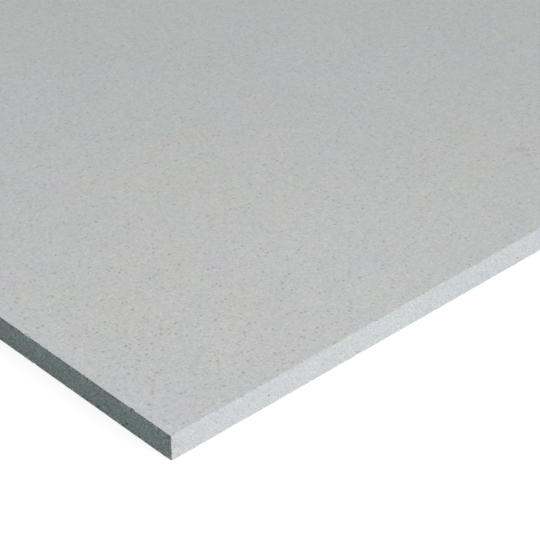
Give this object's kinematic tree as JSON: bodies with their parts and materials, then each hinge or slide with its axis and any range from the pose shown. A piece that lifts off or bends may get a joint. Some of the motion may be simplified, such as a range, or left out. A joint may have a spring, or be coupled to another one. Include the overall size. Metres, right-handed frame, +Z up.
{
  "type": "drywall sheet",
  "caption": "Flat rectangular sheet of pale grey, unfaced gypsum fibre board with sanded faces and square sawn edges.",
  "frame": {"origin": "centre of the sheet's underside, on the surface that it lies on", "axes": "+X along the sheet's length, +Y across its width, +Z up through its thickness, out of the face side"},
  "size_m": [2.4, 1.2, 0.0125],
  "materials": {
    "gypsum_fibre": "matte"
  },
  "bodies": {
    "root": {"gypsum_fibre_board": "gypsum_fibre"}
  },
  "joints": []
}
